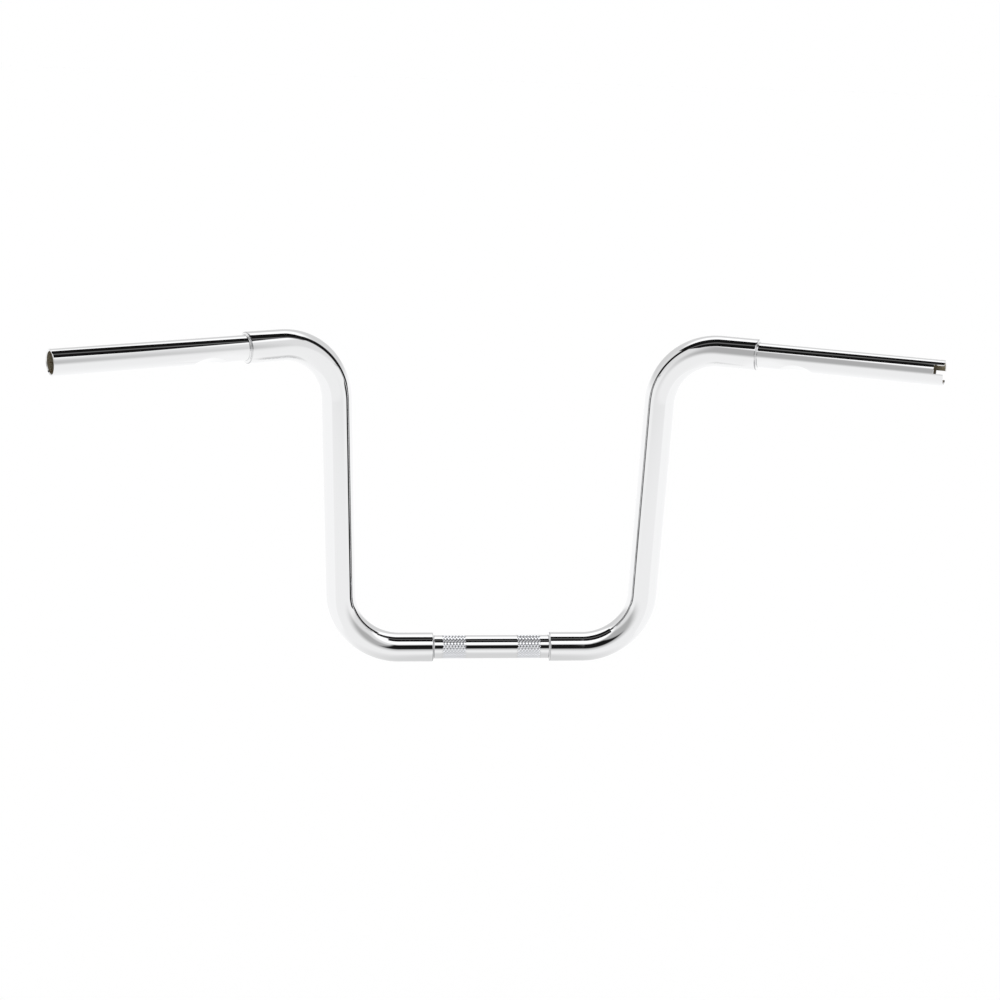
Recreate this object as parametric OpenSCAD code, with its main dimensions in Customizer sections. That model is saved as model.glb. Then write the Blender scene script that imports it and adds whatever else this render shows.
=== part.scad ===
// Ape hanger handlebar for a motorbike.
// Two fat riser tubes, each bent twice, are slipped over a thinner clamp tube in the middle
// and over a thinner grip tube at each outer end, then welded, polished and chromed as one.
// Frame: X runs along the clamp tube to the rider's right, Y forwards, Z up the risers.
// The origin is the middle of the clamp tube, on its axis.

/* [Tubes] */
// Outer diameter of the two riser tubes
riser_od = 31.75; // [29:0.05:38]
// Outer diameter of the clamp tube and of the two grip tubes
thin_od = 25.4; // [22.2:0.1:27]
// Wall thickness of the clamp tube
clamp_wall = 2.6; // [1.6:0.1:4]
// Wall thickness of the grip tubes
grip_wall = 2; // [1.4:0.1:4]

/* [Clamp section] */
// Length of thin tube between the two riser shoulders
clamp_len = 127; // [90:1:140]

/* [Risers] */
// Distance between the riser axes, measured where they would meet the clamp axis
base_w = 325; // [316:1:420]
// Height of the upper corners above the clamp axis
rise = 338; // [180:1:460]
// Angle by which each riser leans outwards
riser_lean = 1.3; // [0:0.1:8]
// Radius of every bend, to the middle of the tube
bend_r = 63.5; // [45:0.5:68]

/* [Grips] */
// Distance between the centres of the two grip ends, before the throttle side is cut shorter
overall_w = 862; // [780:1:980]
// Length by which the throttle side's grip tube is cut shorter
throttle_short = 11; // [0:1:30]
// Distance by which the grip ends are pulled back towards the rider
pull_back = 140; // [60:1:220]
// Height of the grip ends above the upper corners
end_rise = 6; // [-40:1:60]
// Length of fat tube between each upper bend and its shoulder
shoulder_run = 39; // [33:0.5:70]

/* [Welded sockets] */
// Length of thin tube slipped into each end of a riser
insert_len = 30; // [12:1:32]
// Depth turned off the thin tube's ends, so that they slip into the risers
spigot_cut = 0.2; // [0.16:0.02:0.4]
// Gap all round between such an end and the riser's bore
socket_gap = 0.2; // [0.05:0.01:0.3]
// Radius of the rounded lip at each riser end
lip_r = 1.4; // [0.4:0.1:1.6]
// Radius of the hollow weld fillet that runs from the lip down to the thin tube
weld_r = 1.4; // [0.4:0.1:1.6]

/* [Grip ends] */
// Angle by which the bar is rolled towards the rider in use, which sets the slot and the reliefs
control_roll = 26; // [0:1:40]
// Distance from each grip shoulder to the middle of the wiring relief
relief_pos = 40; // [30:1:80]
// Length of the wiring relief along the tube
relief_len = 32; // [24:1:44]
// Depth to which the wiring relief is pressed in
relief_depth = 3.2; // [1.5:0.1:4.5]
// Width of the slot across the throttle end
slot_w = 9.2; // [5:0.1:12]
// Depth of the slot from the end face
slot_depth = 9.5; // [5:0.5:16]
// Width of the chamfer inside each open end
mouth_chamfer = 0.8; // [0.3:0.1:1]
// Width of the bevel outside each open end
edge_bevel = 0.4; // [0.1:0.1:0.8]

/* [Hidden] */
$fn = 96;
chrome = [0.80, 0.81, 0.83];
// Cutters run this far past the surface that they cut, and bends this far into their straights
spare = 1;
// A bend draws the tube in by this much all round, which ends it cleanly inside its straights
draw_in = 0.02;

thin_r = thin_od / 2;
riser_r = riser_od / 2;
// The riser's bore takes the turned end with the socket gap, which leaves its wall
spigot_r = thin_r - spigot_cut;
bore_r = spigot_r + socket_gap;
riser_wall = riser_r - bore_r;
// Lip and fillet share the step between the two tubes without crossing
lip = min(lip_r, 0.47 * (riser_r - thin_r));
fillet = min(weld_r, 0.47 * (riser_r - thin_r));
// Stretch of each riser end that is turned with its lip
collar_len = 4;
grip_bore_r = thin_r - grip_wall;

// Corner points of the right-hand centre line, before the bends round them off
foot = [base_w / 2, 0, 0];
shoulder = [base_w / 2 + rise * tan(riser_lean), 0, rise];
grip_end = [overall_w / 2, -pull_back, rise + end_rise];

// Headings of the three straights: along the clamp, up the riser, out to the grip
function unit(v) = v / norm(v);
clamp_dir = [1, 0, 0];
riser_dir = unit(shoulder - foot);
grip_dir = unit(grip_end - shoulder);

// What a tube bender is set to: two bend angles, the turn of the tube between them, and
// the straights left over once each bend has taken its tangent length from both sides
lower_bend = acos(clamp_dir * riser_dir);
upper_bend = acos(riser_dir * grip_dir);
lower_trim = bend_r * tan(lower_bend / 2);
upper_trim = bend_r * tan(upper_bend / 2);
foot_len = base_w / 2 - lower_trim - clamp_len / 2;
riser_len = norm(shoulder - foot) - lower_trim - upper_trim;
thin_len = norm(grip_end - shoulder) - upper_trim - shoulder_run;
// Axes across the riser after the lower bend, and the side to which the grip turns off
across_x = cos(lower_bend) * [0, 0, 1] - sin(lower_bend) * [1, 0, 0];
across_y = [0, -1, 0];
turn_side = unit(grip_dir - (grip_dir * riser_dir) * riser_dir);
bend_turn = atan2(turn_side * across_y, turn_side * across_x);

// The relief is the print of a round bar pressed in across the tube
relief_r = (relief_len * relief_len / 4 + relief_depth * relief_depth) / (2 * relief_depth);

// One bend: it starts at the origin along Z and curves towards X. The tube's seam stays on one
// line from end to end, so the section is turned back by the angle that the bend was turned.
module elbow(d, angle, turned) {
    lap = atan(spare / bend_r);
    translate([bend_r, 0, 0])
        rotate([90, 0, 180])
            rotate([0, 0, -lap])
                rotate_extrude(angle = angle + 2 * lap)
                    translate([bend_r, 0])
                        rotate(180 + turned)
                            circle(r = d / 2 - draw_in);
}

// Carries on from the far end of such a bend, with Z along the tube again
module past_elbow(angle) {
    translate([bend_r, 0, 0])
        rotate([0, angle, 0])
            translate([-bend_r, 0, 0])
                children();
}

// Goes to the right riser's start: Z along the clamp and X upwards
module at_foot() {
    translate([clamp_len / 2, 0, 0])
        rotate([0, 90, 0])
            rotate([0, 0, 180])
                children();
}

// Goes from the riser's start to the last straight, past both bends
module past_both_bends() {
    translate([0, 0, foot_len])
        past_elbow(lower_bend)
            translate([0, 0, riser_len])
                rotate([0, 0, bend_turn])
                    past_elbow(upper_bend)
                        rotate([0, 0, -bend_turn])
                            children();
}

// A solid rod along the riser's whole centre line; extra lengthens or shortens both ends
module bent_rod(d, extra) {
    translate([0, 0, -extra])
        cylinder(d = d, h = foot_len + extra);
    translate([0, 0, foot_len]) {
        elbow(d, lower_bend, 0);
        past_elbow(lower_bend) {
            cylinder(d = d, h = riser_len);
            translate([0, 0, riser_len])
                rotate([0, 0, bend_turn])
                    elbow(d, upper_bend, bend_turn);
        }
    }
    past_both_bends()
        cylinder(d = d, h = shoulder_run + extra);
}

// Section of a riser's end: bore wall, rounded lip, and the weld, which fills the thin tube's
// turned end and runs out level with its full size
module collar_section() {
    translate([bore_r, 0])
        square([riser_wall - lip, collar_len]);
    translate([bore_r, lip])
        square([riser_wall, collar_len - lip]);
    translate([riser_r - lip, lip])
        circle(r = lip);
    translate([spigot_r, -fillet])
        square([spigot_cut, fillet]);
    difference() {
        translate([thin_r, -fillet])
            square([fillet, fillet]);
        translate([thin_r + fillet, -fillet])
            circle(r = fillet);
    }
}

module collar() {
    rotate_extrude()
        collar_section();
}

// One riser: foot, lower bend, upright, upper bend and the run to the grip shoulder
module riser() {
    at_foot() {
        difference() {
            bent_rod(riser_od, -collar_len);
            bent_rod(2 * bore_r, spare);
        }
        collar();
        past_both_bends()
            translate([0, 0, shoulder_run])
                mirror([0, 0, 1])
                    collar();
    }
}

// Goes to the right grip's open end, where that lies short of its full length: Z outwards,
// X down and -Y back towards the rider, both rolled with the controls
module at_grip_end(short) {
    translate(grip_end - short * grip_dir)
        rotate([0, acos(grip_dir.z), atan2(grip_dir.y, grip_dir.x)])
            rotate([0, 0, -control_roll])
                children();
}

// The pressing bar of the wiring relief, grown by the wall for the bulge it leaves inside
module relief_bar(length, grow) {
    translate([thin_r - relief_depth + relief_r, 0, relief_pos - length])
        rotate([90, 0, 0])
            cylinder(r = relief_r + grow, h = 2 * thin_od, center = true);
}

// A grip tube with the given length between its shoulder and its open end
module grip_tube(length, slotted) {
    tube_len = length + insert_len;
    difference() {
        union() {
            translate([0, 0, -tube_len])
                cylinder(r = spigot_r, h = insert_len + fillet + spare);
            translate([0, 0, fillet - length])
                cylinder(r = thin_r, h = length - fillet - edge_bevel);
        }
        grip_bore(length);
        relief_bar(length, 0);
        if (slotted)
            throttle_slot();
    }
    difference() {
        translate([0, 0, -edge_bevel])
            cylinder(r1 = thin_r, r2 = thin_r - edge_bevel, h = edge_bevel);
        mouth();
        if (slotted)
            throttle_slot();
    }
}

// The bore, less the bulge under the relief, with its mouth opened by the chamfer
module grip_bore(length) {
    tube_len = length + insert_len;
    difference() {
        translate([0, 0, -tube_len - spare])
            cylinder(r = grip_bore_r, h = tube_len + 2 * spare);
        relief_bar(length, grip_wall);
    }
    mouth();
}

module mouth() {
    translate([0, 0, -mouth_chamfer])
        cylinder(r1 = grip_bore_r, r2 = grip_bore_r + mouth_chamfer + spare, h = mouth_chamfer + spare);
}

module throttle_slot() {
    translate([-slot_w / 2, -thin_od, -slot_depth])
        cube([slot_w, 2 * thin_od, slot_depth + spare]);
}

// Named pieces
module clamp_tube() {
    tube_len = clamp_len + 2 * insert_len;
    color(chrome)
        rotate([0, 90, 0])
            difference() {
                union() {
                    cylinder(r = spigot_r, h = tube_len, center = true);
                    cylinder(r = thin_r, h = clamp_len - 2 * fillet, center = true);
                }
                cylinder(r = thin_r - clamp_wall, h = tube_len + 2 * spare, center = true);
            }
}

module right_riser() {
    color(chrome) riser();
}

module left_riser() {
    color(chrome) mirror([1, 0, 0]) riser();
}

module right_grip() {
    color(chrome)
        at_grip_end(throttle_short)
            grip_tube(thin_len - throttle_short, true);
}

module left_grip() {
    color(chrome)
        mirror([1, 0, 0])
            at_grip_end(0)
                grip_tube(thin_len, false);
}

clamp_tube();
left_riser();
right_riser();
left_grip();
right_grip();
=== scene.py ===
# %% [markdown]
# # An ape hanger handlebar in chrome
#
# The bar is one welded piece of five tubes: a thinner clamp tube in the middle, two fat
# risers that are bent twice, and two thinner grip tubes. The CAD model gives every place and
# size. This script gives the same tubes their smooth skins, the knurl, the welds and the
# chrome, and sets up the white studio that the chrome mirrors.
#
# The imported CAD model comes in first, and nothing in it is moved afterwards.

# %% Load the CAD frame
import math

import bmesh
import bpy
from mathutils import Matrix, Vector


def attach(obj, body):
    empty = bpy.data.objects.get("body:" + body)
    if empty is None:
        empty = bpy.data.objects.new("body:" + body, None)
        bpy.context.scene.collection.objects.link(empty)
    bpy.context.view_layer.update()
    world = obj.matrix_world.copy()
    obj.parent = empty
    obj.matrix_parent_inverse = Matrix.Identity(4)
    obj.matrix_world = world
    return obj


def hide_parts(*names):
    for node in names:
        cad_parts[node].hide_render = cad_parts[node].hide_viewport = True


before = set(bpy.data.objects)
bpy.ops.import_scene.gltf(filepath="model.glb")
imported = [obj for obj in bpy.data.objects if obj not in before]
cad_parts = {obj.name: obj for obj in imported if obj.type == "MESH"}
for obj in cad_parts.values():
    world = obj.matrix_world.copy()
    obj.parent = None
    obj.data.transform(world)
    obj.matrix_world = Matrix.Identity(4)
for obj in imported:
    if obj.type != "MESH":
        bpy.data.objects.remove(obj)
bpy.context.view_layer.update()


# %% [markdown]
# ## Sizes of the tubes
#
# A tube shop works from a short list: tube diameters, bend radius, and where the corners of
# the centre line would be if nothing rounded them off. The list here is the one that the CAD
# source has, turned into metres, so that every skin lies exactly on its solid.

# %% Tube sizes in metres
MM = 0.001
fat_r = 31.75 / 2 * MM
thin_r = 25.4 / 2 * MM
spigot_cut = 0.2 * MM
socket_gap = 0.2 * MM
clamp_wall = 2.6 * MM
grip_wall = 2 * MM
spigot_r = thin_r - spigot_cut
riser_bore_r = spigot_r + socket_gap
clamp_bore_r = thin_r - clamp_wall
grip_bore_r = thin_r - grip_wall
bend_r = 63.5 * MM
weld_r = 1.4 * MM
clamp_half = 63.5 * MM
insert_len = 30 * MM
shoulder_run = 39 * MM
throttle_short = 11 * MM
knurl_centre = 40.8 * MM
knurl_width = 26 * MM
knurl_depth = 0.4 * MM

# %% [markdown]
# ## The centre line
#
# The right half of the bar runs along the clamp to the lower corner, up the riser to the
# upper corner, and out to the grip end. Each bend takes its tangent length from both of its
# straights. From that follow the lengths of the straights and the start of the thin tube.

# %% Corners, headings and lengths of the right half
base_w = 325 * MM
rise = 338 * MM
riser_lean = math.radians(1.3)
overall_w = 862 * MM
pull_back = 140 * MM
end_rise = 6 * MM
low_corner = Vector((base_w / 2, 0, 0))
high_corner = Vector((base_w / 2 + rise * math.tan(riser_lean), 0, rise))
grip_end = Vector((overall_w / 2, -pull_back, rise + end_rise))

clamp_way = Vector((1, 0, 0))
riser_way = (high_corner - low_corner).normalized()
grip_way = (grip_end - high_corner).normalized()
low_bend = clamp_way.angle(riser_way)
high_bend = riser_way.angle(grip_way)
low_trim = bend_r * math.tan(low_bend / 2)
high_trim = bend_r * math.tan(high_bend / 2)
foot_len = low_corner.x - low_trim - clamp_half
riser_len = (high_corner - low_corner).length - low_trim - high_trim
thin_len = (grip_end - high_corner).length - high_trim - shoulder_run
print("bends %.1f and %.1f degrees" % (math.degrees(low_bend), math.degrees(high_bend)))
print("straights %.1f, %.1f and %.1f mm" % (foot_len / MM, riser_len / MM, thin_len / MM))

# %% [markdown]
# ## Writing node trees as sums
#
# Materials, the studio and the geometry trees are all node trees. Wiring each node by hand
# hides the idea, so a small class wraps an output socket and lets plain arithmetic add the
# Math nodes. Anything else is one call that takes the node's type, its settings and what
# goes into its sockets.

# %% A socket that can be calculated with
class Wire:
    """An output socket. Arithmetic on it adds Math or Vector Math nodes to its board."""

    def __init__(self, board, socket):
        self.board = board
        self.socket = socket

    def is_vector(self):
        return self.socket.type in ("VECTOR", "RGBA")

    def __add__(self, other):
        return self.board.calculate("ADD", self, other)

    def __radd__(self, other):
        return self.board.calculate("ADD", other, self)

    def __sub__(self, other):
        return self.board.calculate("SUBTRACT", self, other)

    def __rsub__(self, other):
        return self.board.calculate("SUBTRACT", other, self)

    def __mul__(self, other):
        return self.board.calculate("MULTIPLY", self, other)

    def __rmul__(self, other):
        return self.board.calculate("MULTIPLY", other, self)

    def __truediv__(self, other):
        return self.board.calculate("DIVIDE", self, other)

    def __rtruediv__(self, other):
        return self.board.calculate("DIVIDE", other, self)


# %% A board that nodes are added to
class Board:
    """A node tree that is being filled in."""

    def __init__(self, tree):
        self.tree = tree

    def feed(self, socket, value):
        """Put a wire into a socket, or set the socket to a value."""
        if isinstance(value, Made):
            value = value[0]
        if isinstance(value, Wire):
            self.tree.links.new(value.socket, socket)
        else:
            socket.default_value = value

    def add(self, kind, settings=None, sockets=None):
        """Any node: its settings are set first, then its sockets are fed."""
        node = self.tree.nodes.new(kind)
        for name, value in (settings or {}).items():
            setattr(node, name, value)
        for key, value in (sockets or {}).items():
            self.feed(node.inputs[key], value)
        return Made(self, node)

    def calculate(self, operation, first, second):
        """Math on numbers, Vector Math as soon as one side is a vector."""
        vectors = [v for v in (first, second) if isinstance(v, Wire) and v.is_vector()]
        if not vectors:
            return self.add("ShaderNodeMath", {"operation": operation}, {0: first, 1: second})[0]
        numbers = [v for v in (first, second) if not (isinstance(v, Wire) and v.is_vector())]
        if operation == "MULTIPLY" and len(numbers) == 1:
            made = self.add("ShaderNodeVectorMath", {"operation": "SCALE"},
                            {"Vector": vectors[0], "Scale": numbers[0]})
            return made["Vector"]
        made = self.add("ShaderNodeVectorMath", {"operation": operation}, {0: first, 1: second})
        return made["Vector"]

    def function(self, operation, first, second=0.0):
        """A Math node by its name, such as SINE or ARCTAN2."""
        return self.add("ShaderNodeMath", {"operation": operation}, {0: first, 1: second})[0]

    def step(self, value, start, end):
        """0 before start and 1 after end, with a soft step between them."""
        return self.add("ShaderNodeMapRange", {"interpolation_type": "SMOOTHSTEP"},
                        {"Value": value, "From Min": start, "From Max": end})["Result"]

    def blend(self, factor, low, high):
        """A number between low and high."""
        return self.add("ShaderNodeMix", {"data_type": "FLOAT"},
                        {"Factor": factor, "A": low, "B": high})["Result"]

    def blend_colours(self, factor, low, high):
        """A colour between low and high. A Mix node has its colours at sockets 6 and 7."""
        return self.add("ShaderNodeMix", {"data_type": "RGBA"}, {0: factor, 6: low, 7: high})[2]


# %% What a new node hands back
class Made:
    """A node that was added. Its outputs are read as wires, by name or place."""

    def __init__(self, board, node):
        self.board = board
        self.node = node

    def __getitem__(self, key):
        return Wire(self.board, self.node.outputs[key])


# %% [markdown]
# ## Chrome
#
# Decorative chrome is a mirror with a slightly cool tint. A perfect mirror looks false,
# because real plate carries the buffing marks of the steel below it, a faint orange peel and
# the haze of handling. All three are noise in object coordinates: the marks and the peel go
# through a very shallow bump, the haze into the roughness. Each weld has two fine dark lines:
# at its toe and at the riser's shoulder. The knurl gets a chrome of its own, with painted shade
# and some dirt in its grooves, and tops painted brighter than the plate as a highlight.

# %% Start a material
def new_material(name):
    """An empty material, its board, and its output node."""
    material = bpy.data.materials.new(name)
    material.use_nodes = True
    material.node_tree.nodes.clear()
    board = Board(material.node_tree)
    output = board.add("ShaderNodeOutputMaterial")
    return material, board, output


def noise(board, place, scale, detail=2.0, roughness=0.5):
    """Grey noise between 0 and 1. The scale says how many blotches lie along a metre."""
    made = board.add("ShaderNodeTexNoise", {},
                     {"Vector": place, "Scale": scale, "Detail": detail, "Roughness": roughness})
    return made[0]


# %% Colours of the plate
CHROME_TINT = (0.81, 0.812, 0.818, 1)
WELD_LINE_GREY = (0.34, 0.34, 0.35, 1)
# The groove colour is painted shade with some dirt; the top colour is a painted highlight.
GROOVE_SHADE_AND_DIRT = (0.22, 0.23, 0.26, 1)
TOP_HIGHLIGHT = (0.95, 0.96, 0.985, 1)


# %% The unevenness of the plate
def plate_height(board, place, weld):
    """Orange peel and upright buffing marks everywhere, and ripples around each weld."""
    peel = noise(board, place, scale=120.0, detail=3.0)
    # Marks in a metre: close together sideways and long from top to bottom
    upright = board.add("ShaderNodeCombineXYZ", {}, {"X": 260.0, "Y": 260.0, "Z": 24.0})[0]
    streaks = noise(board, place * upright, scale=1.0)
    turn = board.add("ShaderNodeAttribute", {"attribute_name": "turn"})["Fac"]
    ripples_a_turn = 46.0
    on_weld = weld * (1.0 - weld) * 4.0
    ripples = board.function("SINE", turn * ripples_a_turn) * on_weld
    return peel * 0.6 + streaks * 0.25 + ripples * 6.0


# %% The dark lines of a weld
def weld_lines(board, place, weld):
    """Dark lines at the weld's toe and at the shoulder, fainter in places."""
    toe = board.step(weld, 0.0, 0.04) * board.step(weld, 0.22, 0.12)
    shoulder = board.step(weld, 0.64, 0.72) * board.step(weld, 0.96, 0.86)
    strength = board.blend(board.step(noise(board, place, scale=55.0), 0.42, 0.6), 0.3, 1.0)
    return (toe + shoulder) * strength


# %% Polished chrome for the tubes
def make_chrome():
    """Mirror chrome with buffing marks, orange peel and haze; rippled and lined at the welds."""
    material, board, output = new_material("polished chrome")
    place = board.add("ShaderNodeTexCoord")["Object"]
    weld = board.add("ShaderNodeAttribute", {"attribute_name": "weld"})["Fac"]
    haze = board.step(noise(board, place, scale=9.0, detail=4.0), 0.42, 0.72)
    bump = board.add("ShaderNodeBump", {}, {
        "Strength": 1.0, "Distance": 0.004 * MM, "Height": plate_height(board, place, weld)})
    shader = board.add("ShaderNodeBsdfPrincipled", {}, {
        "Base Color": board.blend_colours(weld_lines(board, place, weld), CHROME_TINT, WELD_LINE_GREY),
        "Metallic": 1.0,
        "Roughness": board.blend(haze, 0.015, 0.05),
        "Normal": bump["Normal"],
    })
    board.feed(output.node.inputs["Surface"], shader)
    return material


chrome = make_chrome()
print("made", chrome.name)

# %% Chrome over the knurl
def make_knurl_chrome():
    """Chrome with painted shade and some dirt in the grooves, and tops painted bright."""
    material, board, output = new_material("knurled chrome")
    place = board.add("ShaderNodeTexCoord")["Object"]
    parts = board.add("ShaderNodeSeparateXYZ", {}, {0: place})
    y, z = parts["Y"], parts["Z"]
    from_axis = board.function("SQRT", y * y + z * z)
    # Painted shade and highlight: dark in the grooves, bright on the diamond tops, by height.
    height = board.step(from_axis, thin_r - 0.9 * knurl_depth, thin_r - 0.5 * knurl_depth)
    wear = noise(board, place, scale=400.0, detail=3.0)
    bump = board.add("ShaderNodeBump", {}, {"Strength": 1.0, "Distance": 0.01 * MM, "Height": wear})
    shader = board.add("ShaderNodeBsdfPrincipled", {}, {
        "Base Color": board.blend_colours(height, GROOVE_SHADE_AND_DIRT, TOP_HIGHLIGHT),
        "Metallic": 1.0,
        "Roughness": board.blend(height, 0.3, 0.03) + wear * 0.05,
        "Normal": bump["Normal"],
    })
    board.feed(output.node.inputs["Surface"], shader)
    return material


knurl_chrome = make_knurl_chrome()
print("made", knurl_chrome.name)

# %% [markdown]
# ## Bare steel
#
# The plating bath does not reach into the tube, so its inside stays bare drawn steel, oily
# and a little rusty. It is a dull brown metal with blotches, in which the rust is rougher
# and less metallic than the steel between.

# %% Steel inside the tubes
OILY_STEEL = (0.42, 0.38, 0.28, 1)
RUST = (0.11, 0.075, 0.04, 1)


def make_bare_steel():
    """Dull oily steel with rusty blotches."""
    material, board, output = new_material("bare steel")
    place = board.add("ShaderNodeTexCoord")["Object"]
    blotches = noise(board, place, scale=170.0, detail=6.0, roughness=0.65)
    rust = board.step(blotches, 0.47, 0.58)
    grain = noise(board, place, scale=900.0, detail=3.0)
    bump = board.add("ShaderNodeBump", {}, {
        "Strength": 0.6, "Distance": 0.1 * MM, "Height": grain + rust})
    shader = board.add("ShaderNodeBsdfPrincipled", {}, {
        "Base Color": board.blend_colours(rust, OILY_STEEL, RUST),
        "Metallic": board.blend(rust, 0.75, 0.2),
        "Roughness": board.blend(rust, 0.38, 0.75),
        "Normal": bump["Normal"],
    })
    board.feed(output.node.inputs["Surface"], shader)
    return material


bare_steel = make_bare_steel()
print("made", bare_steel.name)

# %% [markdown]
# ## A tube as a rolled-up sheet
#
# Any of these tubes is a closed section carried along a centre line: out over the weld, the
# lip and the outer wall, and back through the bore. So each one starts as a flat sheet whose
# rows are the points of that section. In the sheet, X is the way along the tube, Y the turn
# around it and Z the distance from its axis. Rolling the sheet up around the centre line is
# the same rule for all five tubes, which makes it a good job for one geometry tree.

# %% The weld, the shoulder and the lip at a riser's end
arc_steps = 12


def arc_points(centre, radius, start, end):
    """Points of an arc in the section, as (way along, radius) pairs."""
    points = []
    for i in range(arc_steps + 1):
        angle = math.radians(start + (end - start) * i / arc_steps)
        points.append((centre[0] + radius * math.cos(angle), centre[1] + radius * math.sin(angle)))
    return points


def collar_points():
    """Outer section of a riser's end: hollow weld fillet, shoulder and rounded lip."""
    fillet = arc_points((-weld_r, thin_r + weld_r), weld_r, -90, 0)
    lip = arc_points((weld_r, fat_r - weld_r), weld_r, 180, 90)
    return fillet + lip


# %% Section of a riser: a list of (way along, radius, lies inside, how far up weld and lip)
# Rings in each bend. The bore hardly shows, so it takes only every third of them.
bend_steps = 72
bore_skip = 3


def riser_section():
    """The whole closed section of a riser, measured along its centre line."""
    arc_low = bend_r * low_bend
    arc_high = bend_r * high_bend
    total = foot_len + arc_low + riser_len + arc_high + shoulder_run
    second = foot_len + arc_low + riser_len
    rings = [foot_len + arc_low * i / bend_steps for i in range(bend_steps + 1)]
    rings += [second + arc_high * i / bend_steps for i in range(bend_steps + 1)]
    collar = collar_points()
    near = [(a, r, False, i / (len(collar) - 1)) for i, (a, r) in enumerate(collar)]
    far = [(total - a, r, False, w) for a, r, _, w in reversed(near)]
    outside = near + [(a, fat_r, False, 1.0) for a in rings] + far
    inside = [(total + weld_r, spigot_r), (total, spigot_r), (total, riser_bore_r)]
    inside += [(a, riser_bore_r) for a in reversed(rings[::bore_skip])]
    inside += [(0, riser_bore_r), (0, spigot_r), (-weld_r, spigot_r)]
    return outside + [(a, r, True, 0.0) for a, r in inside], total


riser_outline, riser_total = riser_section()
print("riser section has", len(riser_outline), "points over %.1f mm" % (riser_total / MM))


# %% Lay a section out as a flat closed sheet
def lay_out(name, section, around):
    """A sheet of quads that joins up with itself both ways, ready to be rolled up."""
    mesh = bpy.data.meshes.new(name)
    points = []
    for along, radius, _, _ in section:
        points += [(along, 2 * math.pi * i / around, radius) for i in range(around)]
    faces = []
    rows = len(section)
    for row in range(rows):
        after = (row + 1) % rows
        for i in range(around):
            j = (i + 1) % around
            faces.append((row * around + i, after * around + i, after * around + j, row * around + j))
    mesh.from_pydata(points, [], faces)
    inside = mesh.attributes.new("inside", "BOOLEAN", "FACE")
    inside.data.foreach_set("value", [section[row][2] for row in range(rows) for _ in range(around)])
    weld = mesh.attributes.new("weld", "FLOAT", "POINT")
    weld.data.foreach_set("value", [point[3] for point in section for _ in range(around)])
    return mesh


# %% [markdown]
# ## Rolling the sheet up around a bent centre line
#
# The tree draws the centre line the way a tube bender thinks of it: straight runs from corner
# to corner, and a fillet of the bend radius at each corner. Sample Curve then gives each
# point of the sheet its place on the line and the two directions across it. A pipe along a
# bevelled curve would be quicker, but it has no bore, no lips and no weld.

# %% Named inputs of a geometry tree
def open_tree(name, inputs):
    """A geometry tree with named inputs. Returns its board, its input node and its output node."""
    tree = bpy.data.node_groups.new(name, "GeometryNodeTree")
    tree.interface.new_socket("Geometry", in_out="INPUT", socket_type="NodeSocketGeometry")
    tree.interface.new_socket("Geometry", in_out="OUTPUT", socket_type="NodeSocketGeometry")
    for label, kind in inputs.items():
        tree.interface.new_socket(label, in_out="INPUT", socket_type="NodeSocket" + kind)
    board = Board(tree)
    return board, board.add("NodeGroupInput"), board.add("NodeGroupOutput")


def finish_tree(board, output, geometry, given):
    """Realize what was made, and give it its two finishes."""
    whole = board.add("GeometryNodeRealizeInstances", {}, {0: geometry})
    plated = board.add("GeometryNodeSetMaterial", {}, {"Geometry": whole, "Material": given["Outside"]})
    inner = board.add("GeometryNodeInputNamedAttribute", {"data_type": "BOOLEAN"}, {"Name": "inside"})
    both = board.add("GeometryNodeSetMaterial", {},
                     {"Geometry": plated, "Selection": inner["Attribute"], "Material": given["Inside"]})
    board.feed(output.node.inputs[0], both)


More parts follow.
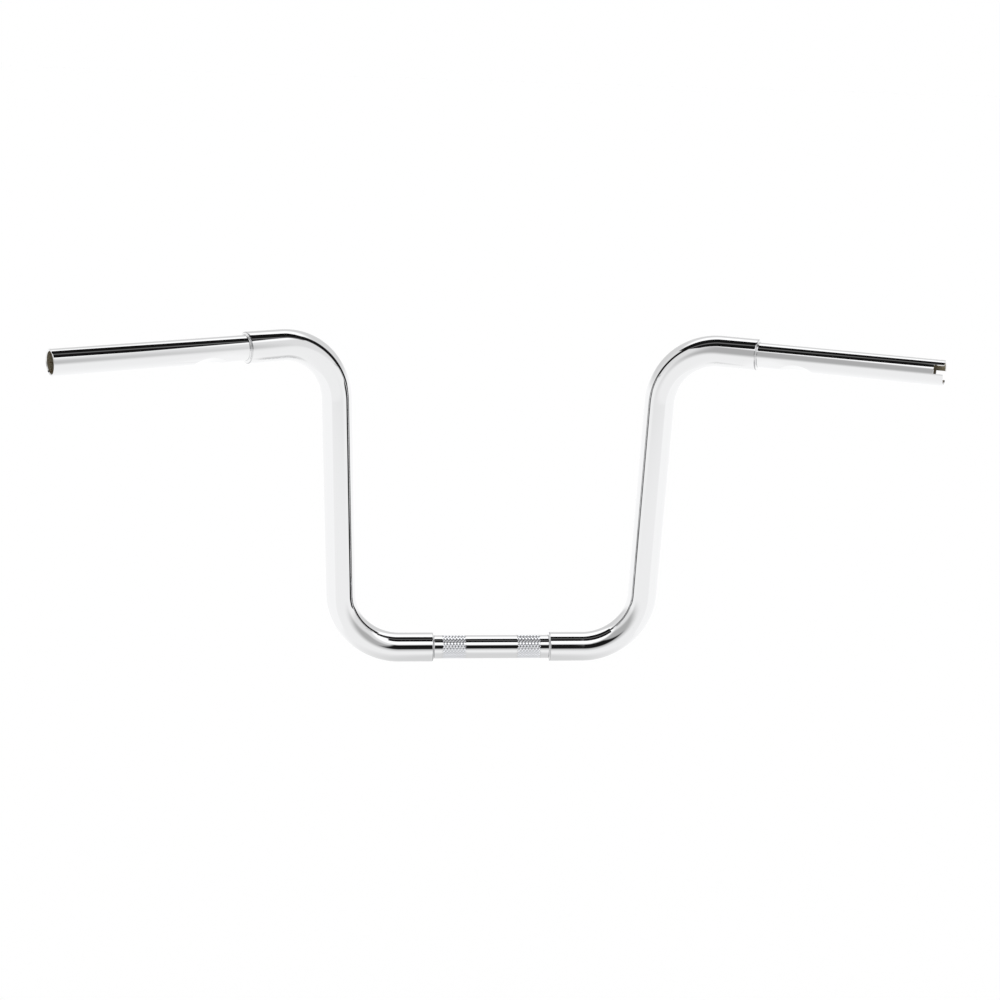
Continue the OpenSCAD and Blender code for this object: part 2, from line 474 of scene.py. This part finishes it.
# %% The tree that rolls a sheet into a tube
def rolled_tube_tree():
    """Rolls a flat sheet around a centre line with two corners, or around a straight one."""
    board, given, output = open_tree("rolled tube", {
        "Start": "Vector", "Low Corner": "Vector", "High Corner": "Vector", "End": "Vector",
        "Bent": "Bool", "Bend Radius": "Float", "Bend Steps": "Int",
        "Outside": "Material", "Inside": "Material"})
    stops = ("Start", "Low Corner", "High Corner", "End")
    corner = board.tree.nodes.new("GeometryNodeIndexSwitch")
    corner.data_type = "VECTOR"
    # The node starts with two items, and each stop needs one
    for _ in stops[2:]:
        corner.index_switch_items.new()
    board.feed(corner.inputs["Index"], board.add("GeometryNodeInputIndex"))
    for number, label in enumerate(stops):
        board.feed(corner.inputs[str(number)], given[label])
    chain = board.add("GeometryNodeMeshLine", {}, {"Count": len(stops)})
    placed = board.add("GeometryNodeSetPosition", {},
                       {"Geometry": chain, "Position": Wire(board, corner.outputs[0])})
    cornered = board.add("GeometryNodeMeshToCurve", {}, {"Mesh": placed})
    bent = board.add("GeometryNodeFilletCurve", {"mode": "POLY"},
                     {"Curve": cornered, "Count": given["Bend Steps"], "Radius": given["Bend Radius"]})
    straight = board.add("GeometryNodeCurvePrimitiveLine", {},
                         {"Start": given["Start"], "End": given["End"]})
    line = board.add("GeometryNodeSwitch", {"input_type": "GEOMETRY"},
                     {"Switch": given["Bent"], "False": straight, "True": bent})
    sheet = board.add("ShaderNodeSeparateXYZ", {}, {0: board.add("GeometryNodeInputPosition")})
    spot = board.add("GeometryNodeSampleCurve", {"mode": "LENGTH", "use_all_curves": True},
                     {"Curves": line, "Length": sheet["X"]})
    side = spot["Normal"]
    up = board.add("ShaderNodeVectorMath", {"operation": "CROSS_PRODUCT"}, {0: spot["Tangent"], 1: side})
    across = board.function("COSINE", sheet["Y"]) * sheet["Z"]
    upward = board.function("SINE", sheet["Y"]) * sheet["Z"]
    rolled_place = spot["Position"] + side * across + up["Vector"] * upward
    kept = board.add("GeometryNodeStoreNamedAttribute", {"data_type": "FLOAT", "domain": "POINT"},
                     {"Geometry": given["Geometry"], "Name": "turn", "Value": sheet["Y"]})
    rolled = board.add("GeometryNodeSetPosition", {}, {"Geometry": kept, "Position": rolled_place})
    smooth = board.add("GeometryNodeSetShadeSmooth", {}, {"Geometry": rolled})
    finish_tree(board, output, smooth, given)
    return board.tree


rolled_tube = rolled_tube_tree()
print("tree with", len(rolled_tube.nodes), "nodes")


# %% Run a tree on a mesh and keep the plain result
def grow(name, mesh, tree, values):
    """An object with the tree's result as its own mesh, and no modifier left on it."""
    thing = bpy.data.objects.new(name, mesh)
    bpy.context.scene.collection.objects.link(thing)
    modifier = thing.modifiers.new(tree.name, "NODES")
    modifier.node_group = tree
    for item in tree.interface.items_tree:
        if item.in_out == "INPUT" and item.name in values:
            modifier[item.identifier] = values[item.name]
    bpy.context.view_layer.update()
    graph = bpy.context.evaluated_depsgraph_get()
    result = bpy.data.meshes.new_from_object(thing.evaluated_get(graph))
    result.name = name
    thing.modifiers.clear()
    thing.data = result
    bpy.data.meshes.remove(mesh)
    return thing


# %% Finish a skin and say how big it is
sharp_over = math.radians(35)


def tidy_skin(thing):
    """Faces turned outwards, smooth shading, and sharp edges where the skin really turns."""
    skin = bmesh.new()
    skin.from_mesh(thing.data)
    bmesh.ops.recalc_face_normals(skin, faces=skin.faces)
    skin.to_mesh(thing.data)
    skin.free()
    thing.data.shade_smooth()
    thing.data.set_sharp_from_angle(angle=sharp_over)


def describe(thing):
    """Print how big a piece is."""
    spans = []
    for axis in range(3):
        places = [vertex.co[axis] for vertex in thing.data.vertices]
        spans.append((max(places) - min(places)) / MM)
    triangles = sum(len(face.vertices) - 2 for face in thing.data.polygons)
    print(thing.name, "has", triangles, "triangles, %.1f x %.1f x %.1f mm" % tuple(spans))


# %% [markdown]
# ## The risers
#
# Each riser is the fat tube with its two bends. At both ends it carries a rounded lip and a
# hollow weld that runs out level with the thin tube. The left riser is not a mirrored copy:
# its corners are mirrored and the sheet is rolled again, so nothing is turned inside out.

# %% Both risers
# Points around the tube, and points of the centre line in each bend
fat_around = 128
line_steps = 90


def as_is(point):
    """The place itself, on the right side."""
    return Vector(point)


def mirrored(point):
    """The same place on the left side."""
    return Vector((-point[0], point[1], point[2]))


def make_riser(name, side):
    """One riser, on the side that the point function gives."""
    start = Vector((clamp_half - weld_r, 0, 0))
    end = high_corner + grip_way * (high_trim + shoulder_run + weld_r)
    sheet = lay_out(name, [(a + weld_r, r, i, w) for a, r, i, w in riser_outline], fat_around)
    riser = grow(name, sheet, rolled_tube, {
        "Start": side(start), "Low Corner": side(low_corner), "High Corner": side(high_corner),
        "End": side(end), "Bent": True, "Bend Radius": bend_r, "Bend Steps": line_steps,
        "Outside": chrome, "Inside": bare_steel})
    tidy_skin(riser)
    describe(riser)
    return riser


right_riser = make_riser("right_riser_tube", as_is)
left_riser = make_riser("left_riser_tube", mirrored)

# %% [markdown]
# ## The clamp tube
#
# The middle tube is straight. Its ends are turned down a little where they slip into the
# risers, and two bands of it are knurled so that the handlebar clamps hold it. Under each
# knurl the skin steps down to the depth of the knurl, and the diamonds fill that step again.

# %% Clamp tube with its two recessed bands
tube_half = clamp_half + insert_len
thin_around = 128


def clamp_section():
    """Closed section of the clamp tube, from its left end."""
    step = clamp_half - weld_r
    inner, outer = knurl_centre - knurl_width / 2, knurl_centre + knurl_width / 2
    floor_r = thin_r - knurl_depth
    right = [(inner, thin_r), (inner, floor_r), (outer, floor_r), (outer, thin_r),
             (step, thin_r), (step, spigot_r), (tube_half, spigot_r)]
    left = [(-a, r) for a, r in reversed(right)]
    outside = [(tube_half + a, r, False, 0.0) for a, r in left + right]
    return outside + [(2 * tube_half, clamp_bore_r, True, 0.0), (0, clamp_bore_r, True, 0.0)]


clamp_sheet = lay_out("clamp_tube_skin", clamp_section(), thin_around)
clamp_tube = grow("clamp_tube_skin", clamp_sheet, rolled_tube, {
    "Start": Vector((-tube_half, 0, 0)), "End": Vector((tube_half, 0, 0)),
    "Bent": False, "Outside": chrome, "Inside": bare_steel})
tidy_skin(clamp_tube)
describe(clamp_tube)

# %% [markdown]
# ## The knurl
#
# A knurling wheel presses two crossing sets of grooves into the tube, which leaves rows of
# small diamonds. Each diamond here is a four-sided stump, and a geometry tree sets hundreds
# of them around the tube, every second row shifted by half a diamond. A bump texture would
# be lighter, but the band would then catch the light like painted paper.

# %% The tree that sets the diamonds
# How wide the top of a diamond is, as a share of its foot
top_share = 0.52


def knurl_tree():
    """Diamonds in staggered rows around a tube along X."""
    board, given, output = open_tree("knurl band", {
        "Centre": "Float", "Width": "Float", "Tube Radius": "Float", "Depth": "Float",
        "Around": "Int", "Rows": "Int", "Outside": "Material", "Inside": "Material"})
    around, rows = given["Around"], given["Rows"]
    grid = board.add("GeometryNodeMeshGrid", {}, {"Vertices X": around, "Vertices Y": rows})
    index = board.add("GeometryNodeInputIndex")[0]
    column = board.function("FLOOR", index / rows)
    row = index - column * rows
    shift = board.function("MODULO", row, 2.0) * 0.5
    turn = (column + shift) * 2 * math.pi / around
    pitch = given["Width"] / (rows + 1)
    along = given["Centre"] - given["Width"] * 0.5 + (row + 1) * pitch
    base_r = given["Tube Radius"] - given["Depth"]
    place = board.add("ShaderNodeCombineXYZ", {}, {
        "X": along,
        "Y": board.function("SINE", turn) * -1.0 * base_r,
        "Z": board.function("COSINE", turn) * base_r})
    spots = board.add("GeometryNodeSetPosition", {}, {"Geometry": grid, "Position": place})
    stump = board.add("GeometryNodeMeshCone", {"fill_type": "NGON"}, {
        "Vertices": 4, "Radius Top": top_share, "Radius Bottom": 1.0, "Depth": given["Depth"]})
    lean = board.add("ShaderNodeCombineXYZ", {}, {"X": turn})
    half_width = math.pi * base_r / around
    size = board.add("ShaderNodeCombineXYZ", {}, {"X": pitch, "Y": half_width, "Z": 1.0})
    diamonds = board.add("GeometryNodeInstanceOnPoints", {}, {
        "Points": spots, "Instance": stump, "Rotation": lean, "Scale": size})
    finish_tree(board, output, diamonds, given)
    return board.tree


knurl = knurl_tree()


# %% Both knurled bands
diamonds_around = 24
diamond_rows = 14


def make_knurl(name, centre):
    """One band of diamonds."""
    seed_mesh = bpy.data.meshes.new(name)
    seed_mesh.from_pydata([(0, 0, 0)], [], [])
    band = grow(name, seed_mesh, knurl, {
        "Centre": centre, "Width": knurl_width, "Tube Radius": thin_r, "Depth": knurl_depth,
        "Around": diamonds_around, "Rows": diamond_rows,
        "Outside": knurl_chrome, "Inside": knurl_chrome})
    describe(band)
    return band


left_knurl = make_knurl("left_knurl_band", -knurl_centre)
right_knurl = make_knurl("right_knurl_band", knurl_centre)

# %% [markdown]
# ## The grip tubes
#
# The outer tubes have more going on: a pressed flat for the switch wires, a chamfered mouth
# and, on the throttle side, a slot across the end. The section gets closely spaced rings
# where the flat will be, so that a press of a round bar can be imitated by moving points.

# %% Where the grip end lies, and how it is rolled
control_roll = math.radians(26)
heading = Matrix.Rotation(math.atan2(grip_way.y, grip_way.x), 4, "Z")
tip = Matrix.Rotation(math.acos(grip_way.z), 4, "Y")
rolled = heading @ tip @ Matrix.Rotation(-control_roll, 4, "Z")


def at_open_end(short):
    """Place of a grip's open end, where that lies short of its full length."""
    return Matrix.Translation(grip_end - grip_way * short) @ rolled


# %% Sizes of the wiring relief and of the open end
relief_pos = 40 * MM
relief_len = 32 * MM
relief_depth = 3.2 * MM
relief_r = (relief_len ** 2 / 4 + relief_depth ** 2) / (2 * relief_depth)
mouth_chamfer = 0.8 * MM
edge_bevel = 0.4 * MM
print("the pressing bar has a radius of %.1f mm" % (relief_r / MM))

# %% Section of a grip tube, from its inserted end
# Rings at the relief, and how far they reach from its middle
relief_rings = 56
ring_reach = relief_len / 2 + 2 * MM


def grip_section(length):
    """Closed section with close rings at the wiring relief."""
    total = insert_len + length
    step = insert_len + weld_r
    press = insert_len + relief_pos
    rings = [press + ring_reach * (2 * i / relief_rings - 1) for i in range(relief_rings + 1)]
    outside = [(0, spigot_r), (step, spigot_r), (step, thin_r)]
    outside += [(a, thin_r) for a in rings]
    outside += [(total - edge_bevel, thin_r), (total, thin_r - edge_bevel)]
    outside += [(total, grip_bore_r + mouth_chamfer)]
    inside = [(total - mouth_chamfer, grip_bore_r)]
    inside += [(a, grip_bore_r) for a in reversed(rings)]
    inside += [(0, grip_bore_r)]
    return [(a, r, False, 0.0) for a, r in outside] + [(a, r, True, 0.0) for a, r in inside]


# %% The press that makes the relief
# How far the bar reaches, how wide the rounding at its edge is, and the least move that counts
press_reach = relief_len / 2 + 1.5 * MM
press_softness = 0.7 * MM
least_move = 0.0001 * MM


def soft_least(a, b, softness):
    """The smaller of two numbers, with the corner between them rounded off."""
    h = max(softness - abs(a - b), 0) / softness
    return min(a, b) - h * h * softness / 4


def press_relief(thing, side, short):
    """Move the points of a grip tube as a round bar pressed across it would."""
    to_row = at_open_end(short)
    to_local = to_row.inverted()
    press_z = relief_pos - (thin_len - short)
    bar_x = thin_r - relief_depth + relief_r
    moved = 0
    for vertex in thing.data.vertices:
        local = to_local @ side(vertex.co)
        reach = local.z - press_z
        outer = math.hypot(local.x, local.y) > (thin_r + grip_bore_r) / 2
        bar_r = relief_r if outer else relief_r + grip_wall
        if local.x < 0 or abs(reach) > press_reach:
            continue
        limit = bar_x - math.sqrt(bar_r ** 2 - reach ** 2)
        pressed = soft_least(local.x, limit, press_softness)
        if pressed < local.x - least_move:
            local.x = pressed
            vertex.co = side(to_row @ local)
            moved += 1
    thing.data.update()
    print(thing.name, "has", moved, "points pressed in")


# %% Roll up and press both grip tubes
grip_around = 160


def make_grip(name, side, short):
    """One grip tube, pressed but without its slot."""
    start = grip_end - grip_way * (thin_len + insert_len)
    end = grip_end - grip_way * short
    grip = grow(name, lay_out(name, grip_section(thin_len - short), grip_around), rolled_tube, {
        "Start": side(start), "End": side(end), "Bent": False,
        "Outside": chrome, "Inside": bare_steel})
    press_relief(grip, side, short)
    tidy_skin(grip)
    describe(grip)
    return grip


left_grip = make_grip("left_grip_tube", mirrored, 0)
right_grip = make_grip("right_grip_tube", as_is, throttle_short)

# %% [markdown]
# ## The throttle slot
#
# The slot is sawn straight across the right end, through both walls. A boolean with a block
# of the saw's width is the plainest way to make it, and its exact solver keeps the mesh
# closed.

# %% Saw the slot
slot_w = 9.2 * MM
slot_depth = 9.5 * MM
saw_spare = 2 * MM


def saw_slot(thing):
    """Cut the slot with a block and keep the plain result."""
    block_mesh = bpy.data.meshes.new("saw_block")
    corners = [(x, y, z) for x in (-slot_w / 2, slot_w / 2) for y in (-2 * thin_r, 2 * thin_r)
               for z in (-slot_depth, saw_spare)]
    faces = [(0, 1, 3, 2), (4, 6, 7, 5), (0, 4, 5, 1), (2, 3, 7, 6), (0, 2, 6, 4), (1, 5, 7, 3)]
    to_row = at_open_end(throttle_short)
    block_mesh.from_pydata([to_row @ Vector(c) for c in corners], [], faces)
    block_mesh.materials.append(chrome)
    block = bpy.data.objects.new("saw_block", block_mesh)
    bpy.context.scene.collection.objects.link(block)
    tidy_skin(block)
    cut = thing.modifiers.new("slot", "BOOLEAN")
    cut.operation = "DIFFERENCE"
    cut.solver = "EXACT"
    cut.object = block
    graph = bpy.context.evaluated_depsgraph_get()
    result = bpy.data.meshes.new_from_object(thing.evaluated_get(graph))
    thing.modifiers.clear()
    old = thing.data
    thing.data = result
    bpy.data.meshes.remove(old)
    bpy.data.objects.remove(block)
    bpy.data.meshes.remove(block_mesh)


saw_slot(right_grip)
tidy_skin(right_grip)
describe(right_grip)

# %% [markdown]
# ## Putting the pieces on the frame
#
# Every skin stands for its CAD node and rides on the only body. The two knurled bands ride
# along as pieces of their own.

# %% Tie the skins to the CAD
stands_for = {"clamp_tube": clamp_tube, "left_riser": left_riser, "right_riser": right_riser,
              "left_grip": left_grip, "right_grip": right_grip}
for node, piece in stands_for.items():
    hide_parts(node)
for piece in list(stands_for.values()) + [left_knurl, right_knurl]:
    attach(piece, "root")
print(len(stands_for), "nodes have their skins")

# %% [markdown]
# ## The floor
#
# The bar floats over a wide white floor, as a cut-out photograph shows it. A white diffuse
# floor under a white sky of strength 1 comes out exactly white and still takes the bar's
# soft shadow. It is left out of the mirror reflections, because the sky below already draws
# the floor there, with the shades that the chrome shows.

# %% A flat piece of the studio
def make_flat(name, corners, material):
    """A single face with its material, for the studio."""
    mesh = bpy.data.meshes.new(name)
    mesh.from_pydata(corners, [], [range(len(corners))])
    mesh.materials.append(material)
    flat = bpy.data.objects.new(name, mesh)
    bpy.context.scene.collection.objects.link(flat)
    return flat


# %% Floor
WHITE = (1, 1, 1, 1)
floor_half = 30.0
floor_z = -1.0


def around_origin(half_x, half_y, z):
    """Corners of a level rectangle around the Z axis."""
    return [(-half_x, -half_y, z), (half_x, -half_y, z), (half_x, half_y, z), (-half_x, half_y, z)]


def make_floor():
    """A wide white plane well below the bar."""
    material, board, output = new_material("white floor")
    white = board.add("ShaderNodeBsdfDiffuse", {}, {"Color": WHITE})
    board.feed(output.node.inputs["Surface"], white)
    floor = make_flat("floor", around_origin(floor_half, floor_half, floor_z), material)
    floor.visible_glossy = False
    return floor


floor = make_floor()
print("floor at %.2f m" % floor.data.vertices[0].co.z)

# %% [markdown]
# ## The studio that the chrome mirrors
#
# Chrome has no look of its own: it shows the room. The photograph's room can be read from the
# reflections. It is a white tent with a dark gap down both sides and a dark patch behind the
# camera, grey around it. The sky draws these by direction alone, and only mirror rays see
# them. To everything else the sky is plain white at strength 1. Front and back are meant here
# as in the picture: the camera stands in front, at minus Y.

# %% Where a mirror ray goes
def ray_angles(board):
    """How far back a ray goes, whether it goes right, and four angles of it in degrees."""
    way = board.add("ShaderNodeSeparateXYZ", {}, {0: board.add("ShaderNodeTexCoord")["Generated"]})
    x, y, z = way["X"], way["Y"], way["Z"]
    degrees = 180 / math.pi
    return {
        "back": y,
        "right": board.step(x, -0.05, 0.05),
        # Up from the ground, and around from straight to the front
        "rise": board.function("ARCSINE", z) * degrees,
        "swing": board.function("ARCTAN2", x, y * -1.0) * degrees,
        # To the front out of the plane of the risers, and down either side from straight up
        "forward": board.function("ARCSINE", y * -1.0) * degrees,
        "down_side": board.function("ARCTAN2", board.function("ABSOLUTE", x), z) * degrees,
    }


# %% The white cloth of the tent
def cloth_level(board, ray):
    """Bright ground, most of all at the back; greyer walls, most of all there; white overhead."""
    ground = board.blend(board.step(ray["back"], -0.6, 0.6), 1.04, 1.13)
    low_wall = board.blend(board.step(ray["back"], 0.2, 0.75), 0.88, 0.78)
    walls = board.blend(board.step(ray["rise"], 35.0, 48.0), low_wall, 1.3)
    return board.blend(board.step(ray["rise"], -6.0, 8.0), ground, walls)


# %% The side where the camera stands
BLACK_LEVEL = 0.01
GREY_LEVEL = 0.5


def with_camera_side(board, ray, tent):
    """Grey all around the camera, higher on the left, and a black patch right behind it."""
    rise = ray["rise"]
    off_middle = board.function("ABSOLUTE", ray["swing"] + 3.0)
    grey_top = board.blend(ray["right"], 41.0, 28.0)
    grey_rise = board.step(rise, -20.0, 8.0) * board.step(rise - grey_top, 6.0, -7.0)
    grey = grey_rise * board.step(off_middle, 62.0, 42.0)
    patch_rise = board.step(rise, 0.0, 7.0) * board.step(rise, 40.0, 33.0)
    patch = patch_rise * board.step(off_middle, 18.0, 11.0)
    tent = board.blend(grey, tent, GREY_LEVEL)
    return board.blend(patch, tent, BLACK_LEVEL)


# %% The gaps down both sides
PALE_GAP_LEVEL = 0.1


def with_side_gaps(board, ray, tent):
    """Black gaps. Low down, where the risers mirror them, they open further to the front."""
    right = ray["right"]
    low = board.step(ray["down_side"], 92.0, 100.0)
    high_front = board.blend(right, 5.0, 2.0)
    high_back = board.blend(right, -10.0, -19.0)
    low_front = board.blend(right, 9.0, 14.0)
    low_back = board.blend(right, -9.0, -12.0)
    front = board.blend(low, high_front, low_front)
    back = board.blend(low, high_back, low_back)
    softness = 1.5
    before_front = board.step(ray["forward"] - front, softness, -softness)
    past_back = board.step(ray["forward"] - back, -softness, softness)
    ends = board.step(ray["down_side"], 36.0, 42.0) * board.step(ray["down_side"], 116.0, 112.0)
    # The left gap is paler low down
    gap_level = board.blend((1.0 - right) * low, BLACK_LEVEL, PALE_GAP_LEVEL)
    return board.blend(before_front * past_back * ends, tent, gap_level)


# %% Sky
def make_sky():
    """White for the camera and for soft light; a tent with dark gaps for mirror rays."""
    world = bpy.data.worlds.new("studio")
    bpy.context.scene.world = world
    world.use_nodes = True
    world.node_tree.nodes.clear()
    board = Board(world.node_tree)
    ray = ray_angles(board)
    tent = cloth_level(board, ray)
    tent = with_camera_side(board, ray, tent)
    tent = with_side_gaps(board, ray, tent)
    mirror_ray = board.add("ShaderNodeLightPath")["Is Glossy Ray"]
    level = board.blend(mirror_ray, 1.0, tent)
    light = board.add("ShaderNodeBackground", {}, {"Color": WHITE, "Strength": level})
    board.add("ShaderNodeOutputWorld", {}, {"Surface": light})
    return world


sky = make_sky()
print("sky with", len(sky.node_tree.nodes), "nodes")

# %% [markdown]
# ## Cards close to the bar
#
# Some things that the chrome shows were so near that they move along its tubes: the open top
# of the tent with a grey seam across it, the shade below the clamp, and a bright cloth close
# beside each riser, which keeps the dark gap from the riser's outer side. The riser across from
# it still shows the gap on its inner side, so the cloth is clear to rays from further away.
# Each is a flat card that gives off its own light and is seen by mirror rays alone, so it
# neither shows in the picture nor shades the floor.

# %% What a card gives off
def make_card_light(name, level_of):
    """Light of its own; level_of takes the board and the place on the card."""
    material, board, output = new_material(name)
    place = board.add("ShaderNodeSeparateXYZ", {}, {0: board.add("ShaderNodeTexCoord")["Object"]})
    level, clear = level_of(board, place["X"], place["Y"])
    light = board.add("ShaderNodeEmission", {}, {"Color": WHITE, "Strength": level})
    nothing = board.add("ShaderNodeBsdfTransparent")
    mixed = board.add("ShaderNodeMixShader", {}, {0: clear, 1: light, 2: nothing})
    board.feed(output.node.inputs["Surface"], mixed)
    return material


def mirror_only(card):
    """Show a card to mirror rays alone."""
    card.visible_camera = False
    card.visible_diffuse = False
    card.visible_shadow = False
    card.visible_transmission = False
    return card


# %% The open top of the tent
top_z = 1.05
top_half_x = 0.75
top_front = -0.5
top_back_left = 0.42
top_back_right = 0.19
seam_y = -0.11
top_black = 0.008
seam_grey = 0.18


def top_level(board, x, y):
    """Black with a grey seam along X. Its front right part is clear and shows the cloth."""
    seam = board.step(board.function("ABSOLUTE", y - seam_y), 0.07, 0.015)
    clear = board.step(x, 0.24, 0.32) * board.step(y, -0.14, -0.2)
    return board.blend(seam, top_black, seam_grey), clear


top_corners = [(-top_half_x, top_front, top_z), (top_half_x, top_front, top_z),
               (top_half_x, top_back_right, top_z), (-top_half_x, top_back_left, top_z)]
top = mirror_only(make_flat("tent top", top_corners, make_card_light("tent top", top_level)))


# %% The shade below the clamp
shade_half_x = 0.22
shade_half_y = 0.12
shade_z = -0.06
shade_grey = 0.8


def shade_level(board, x, y):
    """A light grey that fades out towards the edges."""
    far_x = x / shade_half_x
    far_y = y / shade_half_y
    reach = board.function("SQRT", far_x * far_x + far_y * far_y)
    return shade_grey, board.step(reach, 0.4, 1.0)


shade_corners = around_origin(shade_half_x, shade_half_y, shade_z)
shade = mirror_only(make_flat("shade", shade_corners, make_card_light("shade", shade_level)))


# %% Bright cards beside the risers
side_x = 0.24
side_y = -0.03
side_z = 0.12
side_half_y = 0.1
side_half_z = 0.22
side_white = 1.12


def side_level(board, x, y):
    """Bright for what is close by. On this card X of the place runs along Y, and Y along Z."""
    reach = board.function("ABSOLUTE", x) / side_half_y
    height = board.function("ABSOLUTE", y) / side_half_z
    far = board.step(board.add("ShaderNodeLightPath")["Ray Length"], 0.15, 0.25)
    clear = board.step(reach, 0.55, 1.0) + board.step(height, 0.8, 1.0) + far
    return side_white, board.function("MINIMUM", clear, 1.0)


def make_side_card(name, x):
    """A card on its edge, drawn flat and then stood up beside a riser."""
    corners = around_origin(side_half_y, side_half_z, 0)
    card = mirror_only(make_flat(name, corners, make_card_light(name, side_level)))
    card.matrix_world = Matrix(((0, 0, 1, x), (1, 0, 0, side_y), (0, 1, 0, side_z), (0, 0, 0, 1)))
    return card


left_side = make_side_card("left side card", -side_x)
right_side = make_side_card("right side card", side_x)
print(len([top, shade, left_side, right_side]), "cards stand around the bar")

# %% [markdown]
# ## The camera
#
# The camera was fitted to the photograph together with the bar's centre line. The fit gives
# its lens, its place and two of its directions, and the third follows from those two. They
# go straight into the camera's matrix.

# %% Camera
sensor_width_mm = 36.0
lens_mm = 57.57
camera_place = Vector((-0.16255, -1.61034, 0.68562))
camera_right = Vector((0.99517, -0.09191, 0.03455)).normalized()
camera_forward = Vector((0.09808, 0.94752, -0.30427)).normalized()


def make_camera():
    """The camera of the photograph."""
    data = bpy.data.cameras.new("camera")
    data.sensor_width = sensor_width_mm
    data.lens = lens_mm
    data.clip_end = 200.0
    camera = bpy.data.objects.new("camera", data)
    bpy.context.scene.collection.objects.link(camera)
    up = camera_right.cross(camera_forward).normalized()
    # The two fitted directions are rounded, so the right is taken again at a right angle
    right = camera_forward.cross(up)
    turned = Matrix((right, up, -camera_forward)).transposed().to_4x4()
    camera.matrix_world = Matrix.Translation(camera_place) @ turned
    bpy.context.scene.camera = camera
    return camera


camera = make_camera()
bpy.context.scene.view_settings.view_transform = "Standard"
print("camera at", [round(v, 3) for v in camera.location])
